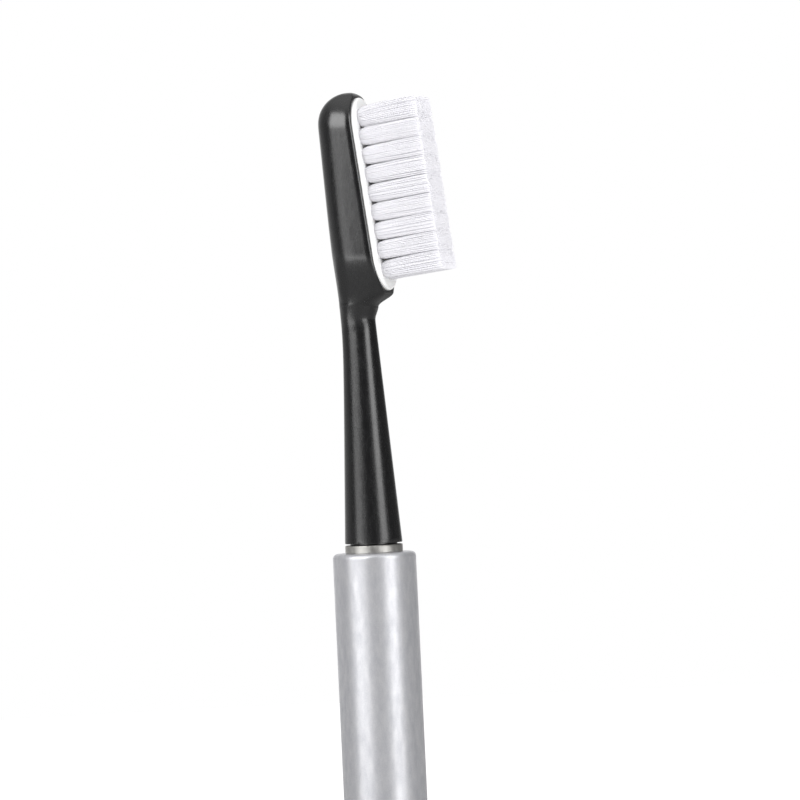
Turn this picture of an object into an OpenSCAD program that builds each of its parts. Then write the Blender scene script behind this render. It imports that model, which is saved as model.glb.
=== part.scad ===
// Cleaning brush with a slim metal handle and a pull-off bristle head.
// Origin: centre of the flat end of the handle. +Z: up the handle. +X: the way the bristles point.
// Unit: millimetre.

/* [Handle] */
// Outer diameter of the handle
handle_d = 12; // [11:0.1:16]
// Length of the handle, end face to top face
handle_l = 122; // [70:1:160]
// Wall of the hollow part of the handle
handle_wall = 1.2; // [0.8:0.1:1.6]
// Thickness of the solid end under the head
end_wall = 9; // [9:0.5:14]
// Radius of the handle's top edge
top_round = 0.7; // [0.2:0.1:1]
// Radius of the handle's bottom edge
foot_round = 0.5; // [0.2:0.1:1]
// Length of the plug in the bottom end
plug_l = 8; // [4:0.5:16]

/* [Connector] */
// Diameter of the visible flange
flange_d = 8.3; // [8:0.1:9.5]
// Thickness of the visible flange
flange_t = 1.15; // [0.6:0.05:1.6]
// Radius of the flange's edge
flange_round = 0.15; // [0.05:0.05:0.25]
// Diameter of the stem pressed into the handle
stem_d = 5; // [4:0.1:6]
// Length of the stem
stem_l = 7.5; // [5:0.5:8.5]
// Diameter of the lower, keyed part of the spigot
key_d = 5.2; // [5:0.05:5.6]
// Distance of the key's flat from the axis
key_flat = 2.25; // [2.2:0.05:2.4]
// Height of the keyed part
key_h = 5.5; // [4:0.5:6.5]
// Diameter of the round nose over the keyed part
nose_d = 4.2; // [3.8:0.05:4.3]
// Height of the nose
nose_h = 6.5; // [5:0.5:8]
// Bevel on the nose's end
nose_bevel = 0.5; // [0.1:0.1:0.8]
// Diameter at the bottom of the ring groove
groove_d = 3.1; // [2.8:0.1:3.2]
// Width of the ring groove
groove_w = 0.9; // [0.8:0.05:1.2]

/* [Neck] */
// Diameter of the neck's foot
neck_foot_d = 8.25; // [7.8:0.05:9.5]
// Gap between the neck's foot and the flange
foot_gap = 0.25; // [0.1:0.05:0.5]
// Diameter of the seat under the neck's foot
seat_d = 6.8; // [6.5:0.1:7.5]
// Diameter of the neck at its waist, under the head
waist_d = 4.6; // [4.5:0.05:6]
// How far the waist lies behind the handle's axis
waist_back = 0.6; // [0:0.05:1.5]
// Height of the waist over the flange
waist_h = 32.2; // [28:0.1:38]

/* [Head] */
// Width of the head
head_w = 10.9; // [10.6:0.1:13]
// Length of the head, chin to tip
head_l = 30.2; // [28:0.1:36]
// Height of the chin over the waist
chin_rise = 2.7; // [2.3:0.1:5]
// Angle of the bristle face, leaning back
face_lean = 6.7; // [4:0.1:9]
// Reach of the face in front of the handle's axis, at the chin
face_reach = 4.2; // [3.8:0.1:5]
// Angle of the head's back, leaning back
back_lean = 3.55; // [2:0.05:6]
// Thickness of the head at the chin
chin_t = 7.55; // [7:0.05:9]
// Radius of the tip, seen from the side
tip_round = 4.7; // [2:0.1:5]
// Width of the rounded edge round the face
rim_round = 0.5; // [0.2:0.05:0.55]
// Depth of the rounded edge round the face
rim_round_depth = 1; // [0.4:0.05:1.3]
// Width of the rim beside the plate's pocket
rim_w = 0.6; // [0.6:0.05:0.8]
// Width of the rim over the pocket, at the tip
tip_rim = 0.8; // [0.6:0.05:1]
// Height of the rim under the pocket, at the chin
chin_rim = 1.5; // [1.3:0.1:2.4]
// Depth of the pocket
pocket_depth = 1.7; // [1.7:0.1:2.2]

/* [Bristles] */
// How far the plate stands out of the pocket
plate_proud = 0.45; // [0.2:0.05:0.8]
// Radius of the plate's front edge
plate_round = 0.35; // [0.1:0.05:0.5]
// Diameter of a tuft in its hole
tuft_d = 1.85; // [1.5:0.05:1.85]
// Gap between two tufts of a row at their cut ends
tip_gap = 0.05; // [0.02:0.01:0.1]
// Gap between two rows at the cut ends of their tufts
row_gap = 0.15; // [0.05:0.05:0.5]
// Free length of the tufts over the plate
tuft_l = 9.15; // [7:0.05:12]
// Depth of a tuft's hole
tuft_hole_depth = 1.5; // [1:0.1:1.6]
// Distance from the pocket's end to the first row
end_margin = 2.15; // [1.9:0.05:2.8]
// How far the rows lie off the pocket's middle, towards the chin
rows_down = 0.15; // [0:0.05:0.4]
// How far the middle tufts of the first and last rows lie outside the others of their row
end_bow = 0.3; // [0:0.05:0.5]
// How far the cut ends of the first row spread towards the tip
first_spread = 0.55; // [0:0.05:0.8]
// How far the cut ends of the last row spread towards the chin
last_spread = 0.05; // [0:0.05:0.8]
// Distance from the pocket's side to the outer tufts
side_margin = 1.1; // [1.05:0.05:1.6]

/* [Fits] */
// Clearance round the spigot in its socket, on the radius
spigot_clearance = 0.05; // [0.03:0.01:0.08]
// Clearance round the rubber ring in the socket, on the radius
seal_clearance = 0.02; // [0.01:0.01:0.04]
// Clearance of pressed and glued pieces, on the radius
press_clearance = 0.02; // [0.01:0.01:0.04]

/* [Hidden] */
$fn = 64;

// Heights of the connector's steps
flange_top = handle_l + flange_t;
key_top = flange_top + key_h;
nose_top = key_top + nose_h;
groove_mid = key_top + nose_h / 2;
// Room over the nose and under the stem
end_play = 0.3;

// Heights of the neck and the head
foot_z = flange_top + foot_gap;
waist_z = flange_top + waist_h;
chin_z = waist_z + chin_rise;
tip_z = chin_z + head_l;

// Where the chin's curve starts and ends, and how soft the back's bend is
chin_start = chin_z - 0.7;
chin_end = chin_z + 1.2;
bend = 0.4;
chin_fillet = 0.2;
// Depth and width of the head's rounded back edges
back_round_x = 3.8;
back_round_y = 4.4;

// The pocket and the plate in it, with round ends
pocket_low = chin_z + chin_rim;
pocket_high = tip_z - tip_rim;
pocket_mid = (pocket_low + pocket_high) / 2;
pocket_l = (pocket_high - pocket_low) / cos(face_lean);
pocket_w = head_w - 2 * rim_w;
// Centres of the round ends
end_low = pocket_low + pocket_w / 2;
end_high = pocket_high - pocket_w / 2;
// Height from which the head's sides curve in to its tip
tip_start = tip_z - head_w / 2;
// The neck widens into the head between these heights; its edges turn into the head's sooner
shoulder_low = waist_z - 0.3;
shoulder_high = end_low;
edges_end = end_low - 2.2;

// Tufts in each row, from the tip to the chin
row_tufts = [3, 4, 4, 4, 4, 4, 4, 4, 3];
row_pitch = (pocket_l - tuft_d - 2 * end_margin) / (len(row_tufts) - 1);
tuft_pitch = row_span(0) / (max(row_tufts) - 1);

// Distance from the first tuft's axis to the last one's, in a row that lies up from the middle
function row_span(up) =
    let (over = max(0, abs(up) - (pocket_l - pocket_w) / 2))
    2 * sqrt(((pocket_w - tuft_d) / 2 - side_margin) ^ 2 - over ^ 2);

// Distance between the middles of the cut ends in a row: every row's ends fill the same width
function tip_pitch(row) = tuft_pitch * max(row_tufts) / row_tufts[row - 1];

// 1 in the first row, -1 in the last row and 0 between them
function row_end(row) = row == 1 ? 1 : row == len(row_tufts) ? -1 : 0;
// Place in its row counted from the row's middle
function from_middle(row, place) = place - (row_tufts[row - 1] + 1) / 2;
// Where a tuft stands on the face: up from the middle, across, and outwards from its row
function tuft_up(row) = ((len(row_tufts) + 1) / 2 - row) * row_pitch - rows_down;
function tuft_across(row, place) =
    row_span(tuft_up(row)) * from_middle(row, place) / (row_tufts[row - 1] - 1);
function tuft_bow(row, place) = from_middle(row, place) == 0 ? row_end(row) * end_bow : 0;

// Points in a quarter of a cross-section
quarter = 10;

function tuft_name(row, place) = str("tuft_", row, "_", place);

// Smooth steps and a smooth limit, used for the blended outlines
function step(from, to, z) =
    let (t = min(1, max(0, (z - from) / (to - from)))) t * t * (3 - 2 * t);
function mix(a, b, t) = a + (b - a) * t;
function soft_min(a, b, k) = (a + b - sqrt((a - b) ^ 2 + k ^ 2)) / 2;

// Side view of the neck: a leaning cone
function neck_r(z) = mix(neck_foot_d, waist_d, (z - foot_z) / (waist_z - foot_z)) / 2;
function neck_x(z) = mix(0, -waist_back, (z - foot_z) / (waist_z - foot_z));

// Side view of the head: its flat face, its back and its rounded tip
function face_x(z) = face_reach - (z - chin_z) * tan(face_lean);
function back_x(z) = face_reach - chin_t - (z - chin_z) * tan(back_lean);
function round_in(r, z) =
    let (up = max(0, z - (tip_z - r))) r - sqrt(max(0, r ^ 2 - up ^ 2));

function chin_reach(z) =
    chin_fillet * step(waist_z, chin_start, z) + (1 - chin_fillet) * step(chin_start, chin_end, z);
function outline_front(z) =
    mix(neck_x(z) + neck_r(z), face_x(z), chin_reach(z)) - round_in(rim_round_depth, z);
function outline_back(z) =
    soft_min(neck_x(z) - neck_r(z), back_x(z), bend) + round_in(tip_round, z);

// Front view: the neck widens into the head, which has a round tip
function outline_half_w(z) =
    z > tip_start
        ? sqrt(max(0, (head_w / 2) ^ 2 - (z - tip_start) ^ 2))
        : mix(neck_r(z), head_w / 2, step(shoulder_low, shoulder_high, z));

// One cross-section at height z: four elliptical quarters
function quarter_points(cx, cy, rx, ry, turn, z) =
    [for (i = [0 : quarter - 1])
        let (a = turn + 90 * i / (quarter - 1)) [cx + rx * cos(a), cy + ry * sin(a), z]];
function section(z) =
    let (
        front = outline_front(z),
        back = outline_back(z),
        half_w = outline_half_w(z),
        head = step(waist_z, edges_end, z),
        half_t = (front - back) / 2,
        fx = min(mix(half_t, rim_round_depth, head), half_t),
        fy = min(mix(half_w, rim_round, head), half_w - 0.05),
        bx = min(mix(half_t, back_round_x, head), 2 * half_t - fx - 0.05),
        by = min(mix(half_w, back_round_y, head), half_w - 0.05)
    )
    concat(
        quarter_points(front - fx, half_w - fy, fx, fy, 0, z),
        quarter_points(back + bx, half_w - by, bx, by, 90, z),
        quarter_points(back + bx, by - half_w, bx, by, 180, z),
        quarter_points(front - fx, fy - half_w, fx, fy, 270, z)
    );

// Heights of the cross-sections: wide apart on straight runs, close where the outline turns
neck_steps = 12;
chin_steps = 16;
head_steps = 6;
tip_steps = 12;
section_heights = concat(
    [for (i = [0 : neck_steps - 1]) mix(foot_z, waist_z, i / neck_steps)],
    [for (i = [0 : chin_steps - 1]) mix(waist_z, end_low, i / chin_steps)],
    [for (i = [0 : head_steps - 1]) mix(end_low, tip_start, i / head_steps)],
    [for (i = [0 : tip_steps]) tip_start + (tip_z - tip_start) * 0.998 * sin(90 * i / tip_steps)]
);

// A closed solid through a stack of cross-sections with the same number of points
module skin(sections) {
    n = len(sections[0]);
    rows = len(sections);
    points = [for (s = sections) each s];
    sides = [for (r = [0 : rows - 2]) for (i = [0 : n - 1])
        let (a = r * n + i, b = r * n + (i + 1) % n)
        each [[a, a + n, b], [b, a + n, b + n]]];
    bottom = [for (i = [0 : n - 1]) i];
    top = [for (i = [n - 1 : -1 : 0]) (rows - 1) * n + i];
    polyhedron(points, concat([bottom], sides, [top]), convexity = 6);
}

// A flat bar with round ends
module stadium(l, w, h) {
    linear_extrude(h) {
        square([l - w, w], center = true);
        for (side = [-1, 1]) translate([side * (l - w) / 2, 0]) circle(d = w);
    }
}

// A round post with rounded outer edges: its half outline, for turning
module post_outline(r, h, low_round, high_round) {
    square([r - max(low_round, high_round), h]);
    translate([0, low_round]) square([r, h - low_round - high_round]);
    translate([r - low_round, low_round]) circle(low_round);
    translate([r - high_round, h - high_round]) circle(high_round);
}

// Puts its children on the bristle face: local Z points out of the face, local -X up along it
module on_face() {
    translate([face_x(pocket_mid), 0, pocket_mid]) rotate([0, 90 - face_lean, 0]) children();
}

module tuft_place(row, place) {
    translate([-tuft_up(row) - tuft_bow(row, place), tuft_across(row, place), plate_proud])
        children();
}

// Round aluminium handle, hollow from below, with a solid end that holds the connector
module handle_tube() {
    bore_d = handle_d - 2 * handle_wall;
    color("silver") difference() {
        rotate_extrude() post_outline(handle_d / 2, handle_l, foot_round, top_round);
        translate([0, 0, -1]) cylinder(d = bore_d, h = handle_l - end_wall + 1);
        translate([0, 0, handle_l - stem_l - end_play])
            cylinder(d = stem_d + 2 * press_clearance, h = stem_l + end_play + 1);
    }
}

// Plug pressed into the bottom end, flush with it
module end_plug() {
    plug_d = handle_d - 2 * handle_wall - 2 * press_clearance;
    color("silver") rotate_extrude() post_outline(plug_d / 2, plug_l, foot_round / 2, foot_round);
}

// Turned steel piece: stem, visible flange, keyed spigot and round nose with a ring groove
module connector() {
    color("lightgray") difference() {
        union() {
            translate([0, 0, handle_l - stem_l]) cylinder(d = stem_d, h = stem_l + flange_t / 2);
            translate([0, 0, handle_l])
                rotate_extrude() post_outline(flange_d / 2, flange_t, flange_round, flange_round);
            translate([0, 0, flange_top - flange_t / 2]) keyed_post(key_d, key_flat, key_h + flange_t / 2);
            translate([0, 0, key_top - 1]) cylinder(d = nose_d, h = nose_h + 1 - nose_bevel);
            translate([0, 0, nose_top - nose_bevel])
                cylinder(d1 = nose_d, d2 = nose_d - 2 * nose_bevel, h = nose_bevel);
        }
        translate([0, 0, groove_mid - groove_w / 2]) difference() {
            cylinder(d = nose_d + 2, h = groove_w);
            translate([0, 0, -1]) cylinder(d = groove_d, h = groove_w + 2);
        }
    }
}

// A round post with one flat, on the back, that keys the head
module keyed_post(d, flat, h) {
    difference() {
        cylinder(d = d, h = h);
        translate([-flat - d, -d, -1]) cube([d, 2 * d, h + 2]);
    }
}

// Rubber ring in the groove: it holds the head on the spigot
module connector_o_ring() {
    outer_r = nose_d / 2 + spigot_clearance - seal_clearance;
    cord_r = (outer_r - groove_d / 2) / 2;
    color("dimgray") translate([0, 0, groove_mid])
        rotate_extrude() translate([outer_r - cord_r, 0]) circle(cord_r);
}

// Black moulded neck and head: socket from below, pocket in the face
module head_shell() {
    color([0.09, 0.09, 0.1]) difference() {
        union() {
            skin([for (z = section_heights) section(z)]);
            translate([0, 0, flange_top]) cylinder(d = seat_d, h = foot_gap + 1);
        }
        socket();
        on_face() translate([0, 0, -pocket_depth]) stadium(pocket_l, pocket_w, pocket_depth + 10);
    }
}

// The space that the spigot goes into
module socket() {
    play = spigot_clearance;
    translate([0, 0, flange_top - 1]) keyed_post(key_d + 2 * play, key_flat + play, key_h + end_play + 1);
    translate([0, 0, key_top - 1]) cylinder(d = nose_d + 2 * play, h = nose_h + end_play + 1);
}

// White plate in the pocket, with a blind hole for each tuft
module bristle_plate() {
    l = pocket_l - 2 * press_clearance;
    w = pocket_w - 2 * press_clearance;
    t = pocket_depth + plate_proud;
    color("whitesmoke") difference() {
        on_face() translate([0, 0, -pocket_depth]) {
            stadium(l, w, t - plate_round);
            stadium(l - 2 * plate_round, w - 2 * plate_round, t);
            for (side = [-1, 1]) translate([side * (l - w) / 2, 0, 0])
                rotate_extrude() post_outline(w / 2, t, 0, plate_round);
            for (side = [-1, 1]) translate([0, side * (w / 2 - plate_round), t - plate_round])
                rotate([0, 90, 0]) cylinder(r = plate_round, h = l - w, center = true);
        }
        for (row = [1 : len(row_tufts)]) for (place = [1 : row_tufts[row - 1]])
            on_face() tuft_place(row, place)
                translate([0, 0, -tuft_hole_depth]) cylinder(d = tuft_d, h = tuft_hole_depth + 1);
    }
}

// One bundle of bristles: a straight root in its hole and a free part that spreads to its cut end.
// The first and last rows spread outwards too, to an even edge, and their outer tufts sideways.
module tuft(row, place) {
    root_r = tuft_d / 2 - press_clearance;
    outwards = row == 1 ? first_spread : row == len(row_tufts) ? -last_spread : 0;
    tip_x = (row_pitch - row_gap + abs(outwards)) / 2;
    tip_y = (tip_pitch(row) - tip_gap) / 2;
    lean_x = tuft_bow(row, place) - outwards / 2;
    lean_y = tip_pitch(row) * from_middle(row, place) - tuft_across(row, place);
    color("white") on_face() tuft_place(row, place)
        skin([
            tuft_section(0, 0, -tuft_hole_depth, root_r, root_r, 2),
            tuft_section(0, 0, 0, root_r, root_r, 2),
            tuft_section(lean_x, lean_y, tuft_l, tip_x, tip_y, tip_power)
        ]);
}

// Outline of a tuft: round where the power is 2, with flatter sides where it is higher
tuft_points = 20;
tip_power = 6;
function tuft_section(x, y, z, rx, ry, power) =
    [for (i = [0 : tuft_points - 1])
        let (
            a = 360 * (i + 0.5) / tuft_points,
            r = (abs(cos(a)) ^ power + abs(sin(a)) ^ power) ^ (-1 / power)
        )
        [x + rx * r * cos(a), y + ry * r * sin(a), z]];

handle_tube();
end_plug();
connector();
connector_o_ring();
head_shell();
bristle_plate();
for (row = [1 : len(row_tufts)]) for (place = [1 : row_tufts[row - 1]])
    tuft(row, place);
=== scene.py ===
"""Looks of the cleaning brush: satin metal handle, black moulded head, white bristles.

Sizes and outlines are in millimetres, as in the part's source, and mesh_object turns them into
the scene's metres. Where a value is in metres instead, a comment says so.
"""
import math
import random

import bmesh
import bpy
import numpy as np
from mathutils import Matrix, Vector


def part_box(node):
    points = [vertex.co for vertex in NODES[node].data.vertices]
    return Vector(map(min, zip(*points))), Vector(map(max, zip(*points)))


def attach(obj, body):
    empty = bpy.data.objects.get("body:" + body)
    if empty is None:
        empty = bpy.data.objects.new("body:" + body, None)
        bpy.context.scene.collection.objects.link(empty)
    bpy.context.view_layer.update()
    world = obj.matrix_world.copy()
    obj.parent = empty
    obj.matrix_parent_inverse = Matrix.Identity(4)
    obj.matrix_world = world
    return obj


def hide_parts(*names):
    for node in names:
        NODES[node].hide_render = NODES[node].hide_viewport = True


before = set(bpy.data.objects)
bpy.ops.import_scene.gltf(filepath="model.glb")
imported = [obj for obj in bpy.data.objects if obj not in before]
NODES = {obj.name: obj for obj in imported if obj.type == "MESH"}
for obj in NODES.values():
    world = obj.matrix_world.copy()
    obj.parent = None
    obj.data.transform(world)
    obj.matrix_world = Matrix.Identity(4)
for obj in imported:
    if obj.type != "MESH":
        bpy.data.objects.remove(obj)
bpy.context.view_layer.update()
MM = 0.001
QUARTER_TURN = math.pi / 2


def node_box_mm(name):
    """Lowest and highest corner of a CAD node, in millimetres."""
    low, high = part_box(name)
    return low / MM, high / MM


# ---------------------------------------------------------------- camera

CAMERA_AZIMUTH = math.radians(18)
CAMERA_ROLL = math.radians(2.67)
CAMERA_LENS = 187.65
CAMERA_SENSOR = 36
# In metres
CAMERA_DISTANCE = 0.6
CAMERA_CLIP = 0.01
FRAME_RIGHT = Vector((math.cos(CAMERA_AZIMUTH), math.sin(CAMERA_AZIMUTH), 0))
FRAME_UP = Vector((0, 0, 1))
TO_CAMERA = Vector((math.sin(CAMERA_AZIMUTH), -math.cos(CAMERA_AZIMUTH), 0))
# In metres: the view's middle lies on the neck, a little to the right of the handle's axis
LOOK_AT = FRAME_RIGHT * 0.00472 + FRAME_UP * 0.14375


def make_camera():
    data = bpy.data.cameras.new("camera")
    data.lens = CAMERA_LENS
    data.sensor_width = CAMERA_SENSOR
    data.clip_start = CAMERA_CLIP
    camera = bpy.data.objects.new("camera", data)
    bpy.context.scene.collection.objects.link(camera)
    right = FRAME_RIGHT * math.cos(CAMERA_ROLL) - FRAME_UP * math.sin(CAMERA_ROLL)
    up = FRAME_RIGHT * math.sin(CAMERA_ROLL) + FRAME_UP * math.cos(CAMERA_ROLL)
    turn = Matrix((right, up, TO_CAMERA)).transposed().to_4x4()
    camera.matrix_world = Matrix.Translation(LOOK_AT + TO_CAMERA * CAMERA_DISTANCE) @ turn
    bpy.context.scene.camera = camera


# ---------------------------------------------------------------- node helpers

def new_material(name):
    """An empty node material, its node tree and its Principled shader."""
    material = bpy.data.materials.new(name)
    material.use_nodes = True
    tree = material.node_tree
    return material, tree, tree.nodes["Principled BSDF"]


def feed(tree, value, socket):
    """Puts a number, or another node's output, into a socket."""
    if isinstance(value, (int, float)):
        socket.default_value = value
    else:
        tree.links.new(value, socket)


def object_coordinates(tree, scale):
    """Object coordinates in metres, multiplied by a factor on each axis."""
    place = tree.nodes.new("ShaderNodeTexCoord")
    mapping = tree.nodes.new("ShaderNodeMapping")
    mapping.inputs["Scale"].default_value = scale
    tree.links.new(place.outputs["Object"], mapping.inputs["Vector"])
    return mapping.outputs["Vector"]


def noise(tree, size_mm, detail, stretch=(1, 1, 1)):
    """Noise whose patches are about size_mm across; stretch makes them longer along an axis."""
    node = tree.nodes.new("ShaderNodeTexNoise")
    node.inputs["Scale"].default_value = 1 / (size_mm * MM)
    node.inputs["Detail"].default_value = detail
    place = object_coordinates(tree, [1 / s for s in stretch])
    tree.links.new(place, node.inputs["Vector"])
    return node.outputs["Fac"]


def ramp(tree, factor, first, last, start=0.3, end=0.7):
    """From the first colour to the last as the factor goes from start to end."""
    node = tree.nodes.new("ShaderNodeValToRGB")
    stops = ((start, first), (end, last))
    for element, (position, colour) in zip(node.color_ramp.elements, stops):
        element.position = position
        element.color = (*colour, 1)
    tree.links.new(factor, node.inputs["Fac"])
    return node.outputs["Color"]


def remap(tree, value, low, high, start=0.3, end=0.7):
    """From low to high as the value goes from start to end."""
    node = tree.nodes.new("ShaderNodeMapRange")
    node.inputs["From Min"].default_value = start
    node.inputs["From Max"].default_value = end
    node.inputs["To Min"].default_value = low
    node.inputs["To Max"].default_value = high
    tree.links.new(value, node.inputs["Value"])
    return node.outputs["Result"]


def blend(tree, weight, a, b):
    """a * (1 - weight) + b * weight, for numbers or outputs."""
    node = tree.nodes.new("ShaderNodeMix")
    feed(tree, weight, node.inputs["Factor"])
    feed(tree, a, node.inputs["A"])
    feed(tree, b, node.inputs["B"])
    return node.outputs["Result"]


def calculate(tree, operation, a, b):
    """A Math node's result for two numbers or outputs."""
    node = tree.nodes.new("ShaderNodeMath")
    node.operation = operation
    feed(tree, a, node.inputs[0])
    feed(tree, b, node.inputs[1])
    return node.outputs[0]


def product(tree, a, b):
    return calculate(tree, "MULTIPLY", a, b)


def either(tree, *values):
    """The largest of some 0-to-1 values."""
    result = values[0]
    for value in values[1:]:
        result = calculate(tree, "MAXIMUM", result, value)
    return result


def bump(tree, shader, height, depth_mm):
    """Bump from a height that runs from 0 to 1, depth_mm deep."""
    node = tree.nodes.new("ShaderNodeBump")
    node.inputs["Strength"].default_value = 1.0
    node.inputs["Distance"].default_value = depth_mm * MM
    tree.links.new(height, node.inputs["Height"])
    tree.links.new(node.outputs["Normal"], shader.inputs["Normal"])


# ---------------------------------------------------------------- materials

def satin_aluminium(name, roughness):
    """Blasted aluminium under a thin pale oxide layer: fine grain, and clouds drawn out upwards."""
    material, tree, shader = new_material(name)
    shader.inputs["Metallic"].default_value = 0.75
    clouds = noise(tree, 0.9, 4.0, stretch=(1, 1, 2.6))
    grain = noise(tree, 0.12, 2.0, stretch=(1, 1, 1.6))
    mottle = blend(tree, 0.35, clouds, grain)
    colour = ramp(tree, mottle, (0.64, 0.645, 0.68), (0.79, 0.79, 0.815), 0.35, 0.65)
    feed(tree, colour, shader.inputs["Base Color"])
    worn = remap(tree, mottle, roughness + 0.05, roughness - 0.05)
    feed(tree, worn, shader.inputs["Roughness"])
    bump(tree, shader, blend(tree, 0.55, grain, clouds), 0.016)
    return material


def turned_steel():
    """Turned steel, slightly warm, with the fine rings that the tool leaves."""
    material, tree, shader = new_material("turned_steel")
    shader.inputs["Metallic"].default_value = 1.0
    rings = noise(tree, 0.12, 2.0, stretch=(40, 40, 0.5))
    patches = noise(tree, 0.9, 3.0)
    colour = ramp(tree, patches, (0.60, 0.59, 0.56), (0.70, 0.69, 0.66))
    feed(tree, colour, shader.inputs["Base Color"])
    feed(tree, remap(tree, patches, 0.38, 0.46), shader.inputs["Roughness"])
    bump(tree, shader, rings, 0.01)
    return material


def ring_rubber():
    """Matt black rubber."""
    material, tree, shader = new_material("ring_rubber")
    patches = noise(tree, 0.25, 3.0)
    colour = ramp(tree, patches, (0.02, 0.02, 0.02), (0.035, 0.034, 0.033))
    feed(tree, colour, shader.inputs["Base Color"])
    feed(tree, remap(tree, patches, 0.55, 0.7), shader.inputs["Roughness"])
    bump(tree, shader, patches, 0.01)
    return material


def black_plastic():
    """Polished black moulding with a faint orange-peel and slight handling marks."""
    material, tree, shader = new_material("black_plastic")
    shader.inputs["IOR"].default_value = 1.6
    shader.inputs["Specular IOR Level"].default_value = 0.95
    peel = noise(tree, 1.1, 2.0)
    marks = noise(tree, 0.35, 4.0, stretch=(1, 1, 5))
    fine = noise(tree, 0.08, 2.0)
    colour = ramp(tree, marks, (0.0025, 0.0025, 0.003), (0.0045, 0.0045, 0.0052), 0.35, 0.7)
    feed(tree, colour, shader.inputs["Base Color"])
    worn = remap(tree, blend(tree, 0.35, marks, fine), 0.22, 0.3)
    feed(tree, worn, shader.inputs["Roughness"])
    bump(tree, shader, blend(tree, 0.25, peel, fine), 0.01)
    return material


def white_plastic():
    """Slightly translucent white moulding."""
    material, tree, shader = new_material("white_plastic")
    shader.inputs["Subsurface Weight"].default_value = 0.25
    shader.inputs["Subsurface Radius"].default_value = (1.0, 0.95, 0.9)
    shader.inputs["Subsurface Scale"].default_value = 0.6 * MM
    clouds = noise(tree, 1.4, 3.0)
    fine = noise(tree, 0.1, 2.0)
    colour = ramp(tree, clouds, (0.85, 0.85, 0.845), (0.90, 0.90, 0.895))
    feed(tree, colour, shader.inputs["Base Color"])
    feed(tree, remap(tree, fine, 0.34, 0.44), shader.inputs["Roughness"])
    bump(tree, shader, blend(tree, 0.4, fine, clouds), 0.006)
    return material


def nylon():
    """Bright white nylon: each filament a little glossy, and letting part of the light through."""
    material, tree, shader = new_material("nylon")
    strands = noise(tree, 0.3, 2.0, stretch=(8, 1, 1))
    fine = noise(tree, 0.06, 2.0)
    colour = ramp(tree, strands, (0.97, 0.967, 0.985), (0.99, 0.987, 0.998))
    feed(tree, colour, shader.inputs["Base Color"])
    feed(tree, remap(tree, strands, 0.4, 0.52), shader.inputs["Roughness"])
    bump(tree, shader, fine, 0.004)
    through = tree.nodes.new("ShaderNodeBsdfTranslucent")
    feed(tree, colour, through.inputs["Color"])
    both = tree.nodes.new("ShaderNodeMixShader")
    both.inputs["Fac"].default_value = 0.65
    tree.links.new(shader.outputs["BSDF"], both.inputs[1])
    tree.links.new(through.outputs["BSDF"], both.inputs[2])
    tree.links.new(both.outputs["Shader"], tree.nodes["Material Output"].inputs["Surface"])
    return material


def dress(name, material):
    """Gives a CAD node its material in every slot."""
    for slot in NODES[name].material_slots:
        slot.material = material


# ---------------------------------------------------------------- mesh helpers

def mesh_object(name, points_mm, faces):
    """A mesh object from points in millimetres, with its normals turned outwards."""
    mesh = bpy.data.meshes.new(name)
    mesh.from_pydata([tuple(c * MM for c in p) for p in points_mm], [], faces)
    build = bmesh.new()
    build.from_mesh(mesh)
    bmesh.ops.recalc_face_normals(build, faces=build.faces)
    build.to_mesh(mesh)
    build.free()
    thing = bpy.data.objects.new(name, mesh)
    bpy.context.scene.collection.objects.link(thing)
    return thing


def skin_faces(ring_count, ring_size, start=0):
    """Faces of a closed skin over rings that lie one after another in the point list."""
    faces = [tuple(start + i for i in range(ring_size))]
    for r in range(ring_count - 1):
        for i in range(ring_size):
            a = start + r * ring_size + i
            b = start + r * ring_size + (i + 1) % ring_size
            faces.append((a, b, b + ring_size, a + ring_size))
    last = start + (ring_count - 1) * ring_size
    faces.append(tuple(last + i for i in range(ring_size)))
    return faces


def skin(name, rings):
    """A closed body over rings of equal size, one above another."""
    points = [p for ring in rings for p in ring]
    return mesh_object(name, points, skin_faces(len(rings), len(rings[0])))


def lathe_rings(profile, segments):
    """Rings round the vertical axis, for pairs of a radius and a height."""
    turns = [2 * math.pi * i / segments for i in range(segments)]
    return [[(r * math.cos(a), r * math.sin(a), z) for a in turns] for r, z in profile]


def cut_away(thing, tool):
    """Takes the tool's volume out of the thing and deletes the tool."""
    modifier = thing.modifiers.new("cut", "BOOLEAN")
    modifier.operation = "DIFFERENCE"
    modifier.solver = "EXACT"
    modifier.object = tool
    bpy.context.view_layer.update()
    shaped = thing.evaluated_get(bpy.context.evaluated_depsgraph_get())
    mesh = bpy.data.meshes.new_from_object(shaped)
    thing.modifiers.clear()
    thing.data = mesh
    bpy.data.objects.remove(tool)


def shade(thing, material, sharp_angle):
    """Smooth shading, with edges sharper than an angle in degrees left crisp."""
    thing.data.materials.clear()
    thing.data.materials.append(material)
    thing.data.polygons.foreach_set("use_smooth", [True] * len(thing.data.polygons))
    thing.data.set_sharp_from_angle(angle=math.radians(sharp_angle))


# ---------------------------------------------------------------- the head's outline

SEAT_Z = node_box_mm("head_shell")[0].z
TIP_Z = node_box_mm("head_shell")[1].z
HEAD_W = node_box_mm("head_shell")[1].y * 2

# The neck: a small seat on the collar, a wide foot over it, and a narrow waist further up
FOOT_GAP = 0.25
SEAT_D = 6.8
SEAT_BEVEL = 0.1
NECK_FOOT_D = 8.25
FOOT_EDGE = 0.08
WAIST_D = 4.6
WAIST_BACK = 0.6
WAIST_H = 32.2

# The head: a face that leans back from the chin, a back that leans less, and a round tip
CHIN_RISE = 2.7
CHIN_T = 7.55
CHIN_FILLET = 0.2
FACE_LEAN = math.radians(6.7)
FACE_REACH = 4.2
BACK_LEAN = math.radians(3.55)
BEND = 0.4
TIP_ROUND = 4.7
# The round edge of the face, across the head and into its depth
RIM_ROUND = 0.5
RIM_ROUND_DEPTH = 1
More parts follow.
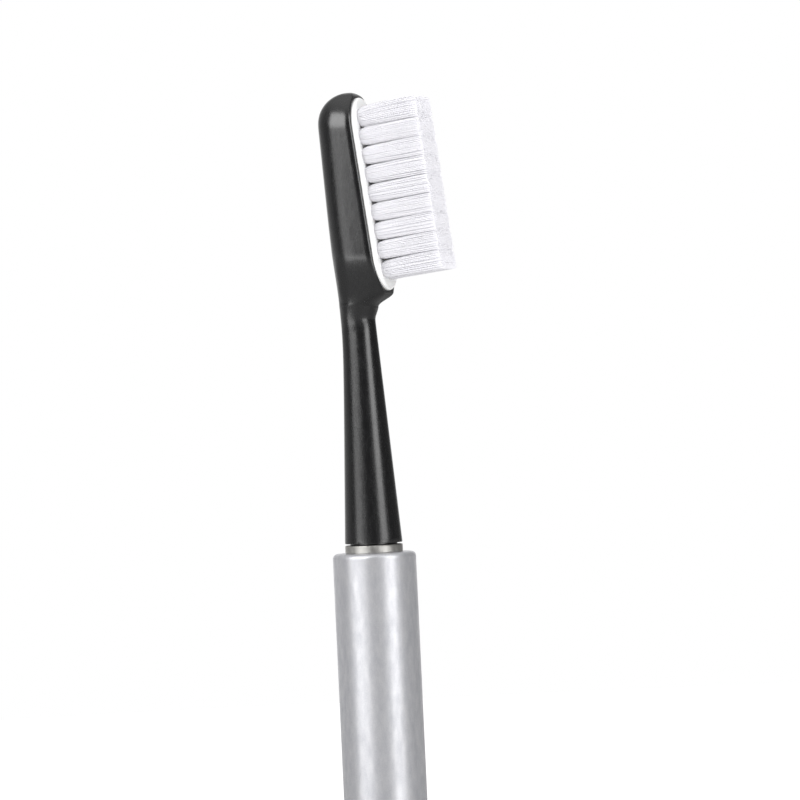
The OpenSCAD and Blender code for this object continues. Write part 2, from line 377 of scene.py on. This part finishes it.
# The back's round edges are a little longer and squarer here than in the solid, which makes the
# flat side run softly into them; 2 is an ellipse
BACK_ROUND_X = 4.9
BACK_ROUND_Y = 5.3
BACK_POWER = 2.5
# The least that stays of a side between two round edges
LEAST_SIDE = 0.05

# The pocket in the face, and the rim that is left round it at the sides, the tip and the chin
RIM_W = 0.6
TIP_RIM = 0.8
CHIN_RIM = 1.5
POCKET_DEPTH = 1.7
POCKET_EDGE = 0.07

FOOT_Z = SEAT_Z + FOOT_GAP
WAIST_Z = SEAT_Z + WAIST_H
CHIN_Z = WAIST_Z + CHIN_RISE
POCKET_LOW = CHIN_Z + CHIN_RIM
POCKET_HIGH = TIP_Z - TIP_RIM
POCKET_MID = (POCKET_LOW + POCKET_HIGH) / 2
POCKET_L = (POCKET_HIGH - POCKET_LOW) / math.cos(FACE_LEAN)
POCKET_W = HEAD_W - 2 * RIM_W

# Heights between which the outline passes from the neck's to the head's: the face at the chin,
# the width at the shoulder, and the round edges in front and at the back
END_LOW = POCKET_LOW + POCKET_W / 2
CHIN_START = CHIN_Z - 0.7
CHIN_END = CHIN_Z + 1.2
SHOULDER_LOW = WAIST_Z - 1.5
SHOULDER_HIGH = END_LOW + 0.8
EDGES_END = END_LOW - 2.2
BACK_EDGES_END = END_LOW + 7
TIP_START = TIP_Z - HEAD_W / 2


def step(start, end, z):
    """0 up to the start, 1 from the end on, and a smooth rise between them."""
    t = min(1, max(0, (z - start) / (end - start)))
    return t * t * (3 - 2 * t)


def mix(a, b, t):
    return a + (b - a) * t


def soft_min(a, b, k):
    """The smaller of two values, with a round transition of about k where they meet."""
    return (a + b - math.hypot(a - b, k)) / 2


def neck_share(z):
    return (z - FOOT_Z) / (WAIST_Z - FOOT_Z)


def neck_r(z):
    return mix(NECK_FOOT_D, WAIST_D, neck_share(z)) / 2


def neck_x(z):
    return mix(0, -WAIST_BACK, neck_share(z))


def face_x(z):
    return FACE_REACH - (z - CHIN_Z) * math.tan(FACE_LEAN)


def back_x(z):
    return FACE_REACH - CHIN_T - (z - CHIN_Z) * math.tan(BACK_LEAN)


def round_in(r, z):
    """How far an edge of radius r at the tip has drawn in at a height."""
    up = max(0, z - (TIP_Z - r))
    return r - math.sqrt(max(0, r * r - up * up))


def outline_front(z):
    reach = CHIN_FILLET * step(WAIST_Z, CHIN_START, z)
    reach += (1 - CHIN_FILLET) * step(CHIN_START, CHIN_END, z)
    return mix(neck_x(z) + neck_r(z), face_x(z), reach) - round_in(RIM_ROUND_DEPTH, z)


def outline_back(z):
    return soft_min(neck_x(z) - neck_r(z), back_x(z), BEND) + round_in(TIP_ROUND, z)


def outline_half_w(z):
    if z > TIP_START:
        return math.sqrt(max(0, (HEAD_W / 2) ** 2 - (z - TIP_START) ** 2))
    return mix(neck_r(z), HEAD_W / 2, step(SHOULDER_LOW, SHOULDER_HIGH, z))


# ---------------------------------------------------------------- the head's moulding

# Points in each quarter of a cross-section
QUARTER_POINTS = 26
# Heights from which the rings of points have a new spacing, and the number of rings from there
RING_ZONES = [
    (FOOT_Z + FOOT_EDGE, 44),
    (WAIST_Z - 2.5, 30),
    (CHIN_Z - 1, 40),
    (CHIN_Z + 1.5, 22),
    (END_LOW, 26),
]
TIP_RINGS = 40
# Share of the tip's height at which the last ring lies, so that it doesn't shrink to a point
TIP_TOP = 0.9995
EDGE_RINGS = 6
POCKET_SEGMENTS = 96
SHELL_SHARP_ANGLE = 32

# The socket: its key and the distance of the key's flat from the axis, and its bore for the nose
KEY_R = 2.65
KEY_FLAT = 2.3
KEY_H = 5.5
NOSE_R = 2.15
END_PLAY = 0.3
LEAD_IN_W = 0.35
LEAD_IN_H = 0.3
SOCKET_SEGMENTS = 72

# How far the cutting tools reach out of the head's foot and face
SOCKET_TOOL_REACH = 1
POCKET_TOOL_REACH = 3

# Directions of the bristle face: out of it, and up along it
FACE_OUT = Vector((math.cos(FACE_LEAN), 0, math.sin(FACE_LEAN)))
FACE_UP = Vector((-math.sin(FACE_LEAN), 0, math.cos(FACE_LEAN)))
FACE_MID = Vector((face_x(POCKET_MID), 0, POCKET_MID))


def quarter(cx, cy, rx, ry, turn, z, power=2):
    """A quarter of an ellipse, or with a higher power a squarer one."""
    ring = []
    for i in range(QUARTER_POINTS):
        a = turn + QUARTER_TURN * i / (QUARTER_POINTS - 1)
        c, s = math.cos(a), math.sin(a)
        x = math.copysign(abs(c) ** (2 / power), c)
        y = math.copysign(abs(s) ** (2 / power), s)
        ring.append((cx + rx * x, cy + ry * y, z))
    return ring


def section(z):
    """Cross-section of the neck and head at a height, of four quarters."""
    front = outline_front(z)
    back = outline_back(z)
    half_w = outline_half_w(z)
    half_t = (front - back) / 2
    head = step(WAIST_Z, EDGES_END, z)
    fx = min(mix(half_t, RIM_ROUND_DEPTH, head), half_t)
    fy = min(mix(half_w, RIM_ROUND, head), half_w - LEAST_SIDE)
    bx = min(mix(half_t, BACK_ROUND_X, head), 2 * half_t - fx - LEAST_SIDE)
    by = min(mix(half_w, BACK_ROUND_Y, head), half_w - LEAST_SIDE)
    power = mix(2, BACK_POWER, step(WAIST_Z, BACK_EDGES_END, z))
    return (
        quarter(front - fx, half_w - fy, fx, fy, 0, z)
        + quarter(back + bx, half_w - by, bx, by, QUARTER_TURN, z, power)
        + quarter(back + bx, by - half_w, bx, by, 2 * QUARTER_TURN, z, power)
        + quarter(front - fx, fy - half_w, fx, fy, 3 * QUARTER_TURN, z)
    )


def on_face(up, across, out):
    """A point from its place on the bristle face."""
    return tuple(FACE_MID + FACE_UP * up + Vector((0, across, 0)) + FACE_OUT * out)


def stadium_ring(grow, out):
    """The pocket's outline, made larger all round by grow, at a height out of the face."""
    radius = POCKET_W / 2 + grow
    straight = (POCKET_L - POCKET_W) / 2
    ring = []
    for i in range(POCKET_SEGMENTS):
        a = 2 * math.pi * (i + 0.5) / POCKET_SEGMENTS
        side = straight if math.cos(a) > 0 else -straight
        ring.append(on_face(side + radius * math.cos(a), radius * math.sin(a), out))
    return ring


def pocket_tool():
    """The pocket's volume, with a small round all along its rim."""
    rings = [stadium_ring(0, -POCKET_DEPTH), stadium_ring(0, -POCKET_EDGE)]
    for i in range(1, EDGE_RINGS + 1):
        a = QUARTER_TURN * i / EDGE_RINGS
        rings.append(stadium_ring(POCKET_EDGE * (1 - math.cos(a)), POCKET_EDGE * (math.sin(a) - 1)))
    rings.append(stadium_ring(POCKET_EDGE, POCKET_TOOL_REACH))
    return skin("pocket_tool", rings)


def socket_tool():
    """The keyed hole that the spigot goes into, with a lead-in at its mouth."""
    key_top = SEAT_Z + KEY_H + END_PLAY
    nose_top = node_box_mm("connector")[1].z + END_PLAY
    mouth_r = KEY_R + LEAD_IN_W
    mouth = lathe_rings([(mouth_r, SEAT_Z - SOCKET_TOOL_REACH), (mouth_r, SEAT_Z)], SOCKET_SEGMENTS)
    key = [(KEY_R, SEAT_Z + LEAD_IN_H), (KEY_R, key_top)]
    nose = [(NOSE_R, key_top + 0.01), (NOSE_R, nose_top)]
    bore = lathe_rings(key + nose, SOCKET_SEGMENTS)
    keyed = [[(max(x, -KEY_FLAT), y, z) for x, y, z in ring] for ring in bore]
    return skin("socket_tool", mouth + keyed)


def foot_rings():
    """Seat under the neck, then the neck's foot with a small round on its edge."""
    seat_r, foot_r = SEAT_D / 2, neck_r(FOOT_Z)
    profile = [(seat_r - SEAT_BEVEL, SEAT_Z), (seat_r, SEAT_Z + SEAT_BEVEL), (seat_r, FOOT_Z)]
    for i in range(EDGE_RINGS):
        a = QUARTER_TURN * i / EDGE_RINGS
        r = foot_r - FOOT_EDGE + FOOT_EDGE * math.sin(a)
        profile.append((r, FOOT_Z + FOOT_EDGE * (1 - math.cos(a))))
    outline = [(x - neck_x(FOOT_Z), y) for x, y, _ in section(FOOT_Z)]
    directions = [(x / math.hypot(x, y), y / math.hypot(x, y)) for x, y in outline]
    return [[(r * x, r * y, z) for x, y in directions] for r, z in profile]


def ring_heights():
    """Heights of the moulding's rings, which are closest where its outline turns most."""
    starts = [z for z, _ in RING_ZONES] + [TIP_START]
    heights = []
    for (start, count), end in zip(RING_ZONES, starts[1:]):
        heights += [mix(start, end, i / count) for i in range(count)]
    reach = (TIP_Z - TIP_START) * TIP_TOP
    for i in range(TIP_RINGS + 1):
        heights.append(TIP_START + reach * math.sin(QUARTER_TURN * i / TIP_RINGS))
    return heights


def head_moulding(material):
    """Neck and head in one piece, finer than the CAD solid, with its pocket and socket."""
    shell = skin("neck_and_head", foot_rings() + [section(z) for z in ring_heights()])
    cut_away(shell, socket_tool())
    cut_away(shell, pocket_tool())
    shade(shell, material, SHELL_SHARP_ANGLE)
    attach(shell, "brush_head")
    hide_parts("head_shell")


# ---------------------------------------------------------------- bristles

TUFTS = sorted(name for name in NODES if name.startswith("tuft_"))
ROWS = max(int(name.split("_")[1]) for name in TUFTS)

FILAMENT_R = 0.085
FILAMENT_SIDES = 5
FILAMENT_SHARP_ANGLE = 60
# Shares of a filament's length at which its rings lie, and its radius at the last two of them,
# as shares of the full one, for a rounded tip
FILAMENT_RINGS = [0, 0.05, 0.1, 0.15, 0.25, 0.4, 0.55, 0.75, 0.975, 0.992, 1.0]
FILAMENT_TIP = [0.75, 0.25]
# Rings of filaments in a tuft, and how far a filament may lie off its place, in steps from one
# filament to the next: along its ring, and in or out
RINGS_OF_FILAMENTS = 6
OFF_ALONG = 0.22
OFF_OUT = 0.12
# How deep under the plate's front the filaments start
ROOT_DEPTH = 0.6
# Typical sideways stray at a filament's tip, bow halfway up it, and shortness
STRAY = 0.02
BOW = 0.012
SHORTNESS = 0.05

# How square the tufts' cut ends are: 2 is round
TIP_POWER = 6
# Shares of its length at which a tuft meets the next row, and at which it is as square as its end
ROWS_MEET = 0.2
SQUARED = 0.75
# How far the tufts' ends reach over the gap to the next row
ROW_OVERLAP = 0.06
# Points this close to the lowest or highest of a tuft's solid belong to its root or cut end
END_TOLERANCE = 0.01


def disc_places(rng):
    """Places of a tuft's filaments in a unit disc, as distance and angle.

    There is one in the middle, with rings of 6, 12, 18 and so on round it.
    """
    places = [(0.0, 0.0)]
    for ring in range(1, RINGS_OF_FILAMENTS + 1):
        for i in range(6 * ring):
            a = 2 * math.pi * (i + rng.uniform(-OFF_ALONG, OFF_ALONG)) / (6 * ring)
            places.append(((ring + rng.uniform(-OFF_OUT, OFF_OUT)) / RINGS_OF_FILAMENTS, a))
    return places


def over_face(name):
    """A CAD node's points on the bristle face: up along it, across it and out of it."""
    points = np.array([v.co for v in NODES[name].data.vertices]) / MM - np.array(FACE_MID)
    return points @ np.array([FACE_UP, Vector((0, 1, 0)), FACE_OUT]).T


def tuft_shape(name):
    """Root and cut end of a tuft's solid, each a middle and half sizes, and the end's height."""
    points = over_face(name)
    out = points[:, 2]
    ends = []
    for end in (points[out < out.min() + END_TOLERANCE], points[out > out.max() - END_TOLERANCE]):
        small, large = end.min(0), end.max(0)
        ends.append(((small + large) / 2, (large - small) / 2))
    return ends[0], ends[1], out.max()


def superellipse(a, power):
    """Distance of a unit superellipse from its middle at an angle."""
    return (abs(math.cos(a)) ** power + abs(math.sin(a)) ** power) ** (-1 / power)


def spread_share(t, end):
    """0 at a tuft's root, rising to 1 at the share end of its length."""
    return math.sin(QUARTER_TURN * min(1, t / end))


def filament(place, low, high, points, faces):
    """One filament from low to high over the face, with a rounded tip, at place(t) on its way."""
    shares = [1] * (len(FILAMENT_RINGS) - len(FILAMENT_TIP)) + FILAMENT_TIP
    first = len(points)
    for t, share in zip(FILAMENT_RINGS, shares):
        up, across = place(t)
        out = mix(low, high, t)
        r = FILAMENT_R * share
        for i in range(FILAMENT_SIDES):
            a = 2 * math.pi * i / FILAMENT_SIDES
            points.append(on_face(up + r * math.cos(a), across + r * math.sin(a), out))
    faces += skin_faces(len(FILAMENT_RINGS), FILAMENT_SIDES, first)


def bristle_bundle(name, material, low, seed):
    """The filaments of one tuft from a height over the face on, filling the tuft's CAD solid."""
    rng = random.Random(seed)
    (root_mid, root_half), (tip_mid, tip_half), high = tuft_shape(name)
    row = int(name.split("_")[1])
    above = 0 if row == 1 else ROW_OVERLAP
    below = 0 if row == ROWS else ROW_OVERLAP
    tip_mid[0] += (above - below) / 2
    tip_half[0] += (above + below) / 2
    points, faces = [], []
    for radius, a in disc_places(rng):
        stray = rng.gauss(0, STRAY), rng.gauss(0, STRAY)
        bow = rng.gauss(0, BOW)

        def place(t):
            squared = spread_share(t, SQUARED)
            mid = root_mid + (tip_mid - root_mid) * squared
            up_half = mix(root_half[0], tip_half[0], spread_share(t, ROWS_MEET)) - FILAMENT_R
            across_half = mix(root_half[1], tip_half[1], squared) - FILAMENT_R
            out = radius * mix(1, superellipse(a, TIP_POWER), squared ** 2)
            up = mid[0] + up_half * out * math.cos(a) + stray[0] * t + bow * math.sin(math.pi * t)
            return up, mid[1] + across_half * out * math.sin(a) + stray[1] * t

        top = high - abs(rng.gauss(0, SHORTNESS))
        filament(place, low, top, points, faces)
    bundle = mesh_object(name + "_filaments", points, faces)
    shade(bundle, material, FILAMENT_SHARP_ANGLE)
    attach(bundle, "brush_head")
    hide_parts(name)


def bristles(material):
    """All tufts, which start a little under the front of the plate."""
    low = float(over_face("bristle_plate")[:, 2].max()) - ROOT_DEPTH
    for seed, name in enumerate(TUFTS):
        bristle_bundle(name, material, low, seed)


# ---------------------------------------------------------------- studio

# Brightness of the world for mirrored light: at the camera's side, left and right, overhead, and
# the table to the left and right below the horizon
STUDIO_FRONT = 0.06
STUDIO_LEFT = 0.38
STUDIO_RIGHT = 0.1
STUDIO_TOP = 0.6
TABLE_LEFT = 0.85
TABLE_RIGHT = 0.35
# Brightness of the world for scattered light
AMBIENT_LEFT = 0.5
AMBIENT_RIGHT = 1.1
# The white backdrop's turn to the left from straight behind the object, in degrees
BACKDROP_TURN = 3
# Cosines of the angle from a direction between which each of these fades in
RIGHT_FADE = (-0.6, 0.7)
BEHIND_FADE = (-0.2, 0.8)
BACKDROP_FADE = (0.82, 0.98)
TABLE_FADE = (0.0, 0.08)
TOP_FADE = (0.6, 0.95)

FLOOR_R = 1400
FLOOR_SEGMENTS = 96
# The floor's glow near the object and far from it, and the shares of it that mirrored light far
# from the object and scattered light meet
GLOW_NEAR = 0.7
GLOW_FAR = 0.95
GLOW_MIRRORED = 0.1
GLOW_SCATTERED = 0.9
# In metres from the middle of the floor, where these fade in
GLOW_FADE = (0.2, 0.8)
MIRRORED_FADE = (0.35, 1.0)

# In metres: how far the soft boxes are from the point on the axis that they face, and its height
BOX_DISTANCE = 0.5
BOX_AIM = 0.16


def ray_kinds(tree):
    """What sees the surface: the camera, mirrored light or scattered light, each 0 or 1."""
    path = tree.nodes.new("ShaderNodeLightPath").outputs
    mirrored = either(tree, path["Is Glossy Ray"], path["Is Transmission Ray"])
    return path["Is Camera Ray"], mirrored, path["Is Diffuse Ray"]


def direction_share(tree, direction, axis, fade):
    """0 to 1 as a direction turns towards an axis, between two cosines."""
    turned = tree.nodes.new("ShaderNodeVectorMath")
    turned.operation = "DOT_PRODUCT"
    turned.inputs[1].default_value = axis
    tree.links.new(direction, turned.inputs[0])
    return remap(tree, turned.outputs["Value"], 0, 1, *fade)


def white_surroundings():
    """The world: a white backdrop behind the object, in a studio that is dimmer all round."""
    world = bpy.data.worlds.new("studio")
    bpy.context.scene.world = world
    world.use_nodes = True
    tree = world.node_tree
    tree.nodes.clear()
    direction = tree.nodes.new("ShaderNodeTexCoord").outputs["Generated"]
    turn = math.radians(BACKDROP_TURN)
    middle = -TO_CAMERA * math.cos(turn) - FRAME_RIGHT * math.sin(turn)
    to_right = direction_share(tree, direction, FRAME_RIGHT, RIGHT_FADE)
    behind = direction_share(tree, direction, -TO_CAMERA, BEHIND_FADE)
    backdrop = direction_share(tree, direction, middle, BACKDROP_FADE)
    below = direction_share(tree, direction, -FRAME_UP, TABLE_FADE)
    overhead = direction_share(tree, direction, FRAME_UP, TOP_FADE)
    walls = blend(tree, to_right, STUDIO_LEFT, STUDIO_RIGHT)
    table = blend(tree, to_right, TABLE_LEFT, TABLE_RIGHT)
    soft = blend(tree, to_right, AMBIENT_LEFT, AMBIENT_RIGHT)
    round_about = blend(tree, behind, STUDIO_FRONT, blend(tree, below, walls, table))
    studio = blend(tree, overhead, round_about, STUDIO_TOP)
    seen, mirrored, scattered = ray_kinds(tree)
    white = either(tree, seen, product(tree, mirrored, backdrop))
    strength = blend(tree, white, blend(tree, scattered, studio, soft), 1.0)
    background = tree.nodes.new("ShaderNodeBackground")
    background.inputs["Color"].default_value = (1, 1, 1, 1)
    tree.links.new(strength, background.inputs["Strength"])
    output = tree.nodes.new("ShaderNodeOutputWorld")
    tree.links.new(background.outputs["Background"], output.inputs["Surface"])


def floor():
    """A pale round floor that looks white to the camera and keeps the object's shadow."""
    rim = lathe_rings([(FLOOR_R, 0)], FLOOR_SEGMENTS)[0]
    disc = mesh_object("floor", rim, [tuple(range(FLOOR_SEGMENTS))])
    material, tree, shader = new_material("floor")
    patches = noise(tree, 300, 2.0)
    colour = ramp(tree, patches, (0.21, 0.21, 0.21), (0.23, 0.23, 0.23))
    feed(tree, colour, shader.inputs["Base Color"])
    shader.inputs["Roughness"].default_value = 0.9
    away = tree.nodes.new("ShaderNodeVectorMath")
    away.operation = "LENGTH"
    tree.links.new(object_coordinates(tree, (1, 1, 1)), away.inputs[0])
    distance = away.outputs["Value"]
    white = remap(tree, distance, GLOW_NEAR, GLOW_FAR, *GLOW_FADE)
    reflected = remap(tree, distance, 0, GLOW_MIRRORED, *MIRRORED_FADE)
    seen, mirrored, scattered = ray_kinds(tree)
    mirrored = product(tree, mirrored, reflected)
    scattered = product(tree, scattered, GLOW_SCATTERED)
    glow = tree.nodes.new("ShaderNodeEmission")
    lit = product(tree, white, either(tree, seen, mirrored, scattered))
    tree.links.new(lit, glow.inputs["Strength"])
    total = tree.nodes.new("ShaderNodeAddShader")
    tree.links.new(shader.outputs["BSDF"], total.inputs[0])
    tree.links.new(glow.outputs["Emission"], total.inputs[1])
    tree.links.new(total.outputs["Shader"], tree.nodes["Material Output"].inputs["Surface"])
    disc.data.materials.append(material)


def soft_box(name, turn, width, low, high, level, mirrored=True):
    """A soft box facing the object, with all angles in degrees.

    turn is its middle's angle to the right of the camera and width its angle across, low and high
    are the angles of its lower and upper edge above the horizon, level is its brightness, and
    mirrored says whether reflections show it.
    """
    a, half = math.radians(turn), math.radians(high - low) / 2
    tilt = math.radians(high + low) / 2
    data = bpy.data.lights.new(name, "AREA")
    data.shape = "RECTANGLE"
    data.size = 2 * BOX_DISTANCE * math.tan(math.radians(width) / 2)
    data.size_y = 2 * BOX_DISTANCE * math.tan(half)
    data.energy = level * math.pi * data.size * data.size_y
    lamp = bpy.data.objects.new(name, data)
    bpy.context.scene.collection.objects.link(lamp)
    side = TO_CAMERA * math.cos(a) + FRAME_RIGHT * math.sin(a)
    away = side * math.cos(tilt) + FRAME_UP * math.sin(tilt)
    lamp.location = FRAME_UP * BOX_AIM + away * BOX_DISTANCE
    lamp.rotation_euler = away.to_track_quat("Z", "Y").to_euler()
    lamp.visible_camera = False
    lamp.visible_glossy = mirrored


def lamps():
    soft_box("left_box", -49, 42, 13, 50, 3.4)
    soft_box("left_middle_box", -49, 42, 8, 13, 2.8)
    soft_box("left_neck_box", -56, 28, -5, 2, 1.5)
    soft_box("left_low_box", -49, 42, -16, -7.5, 2.4)
    soft_box("right_box", 47, 28, 1, 44, 2.8)
    soft_box("right_low_box", 43, 30, -16, -3.5, 2.4)
    soft_box("front_fill", 5, 90, -12, 12, 0.5, mirrored=False)


# ---------------------------------------------------------------- the scene

make_camera()
white_surroundings()
floor()
lamps()

dress("handle_tube", satin_aluminium("handle_metal", 0.38))
dress("end_plug", satin_aluminium("plug_metal", 0.42))
dress("connector", turned_steel())
dress("connector_o_ring", ring_rubber())
dress("bristle_plate", white_plastic())
head_moulding(black_plastic())
bristles(nylon())

bpy.context.scene.view_settings.view_transform = "Standard"
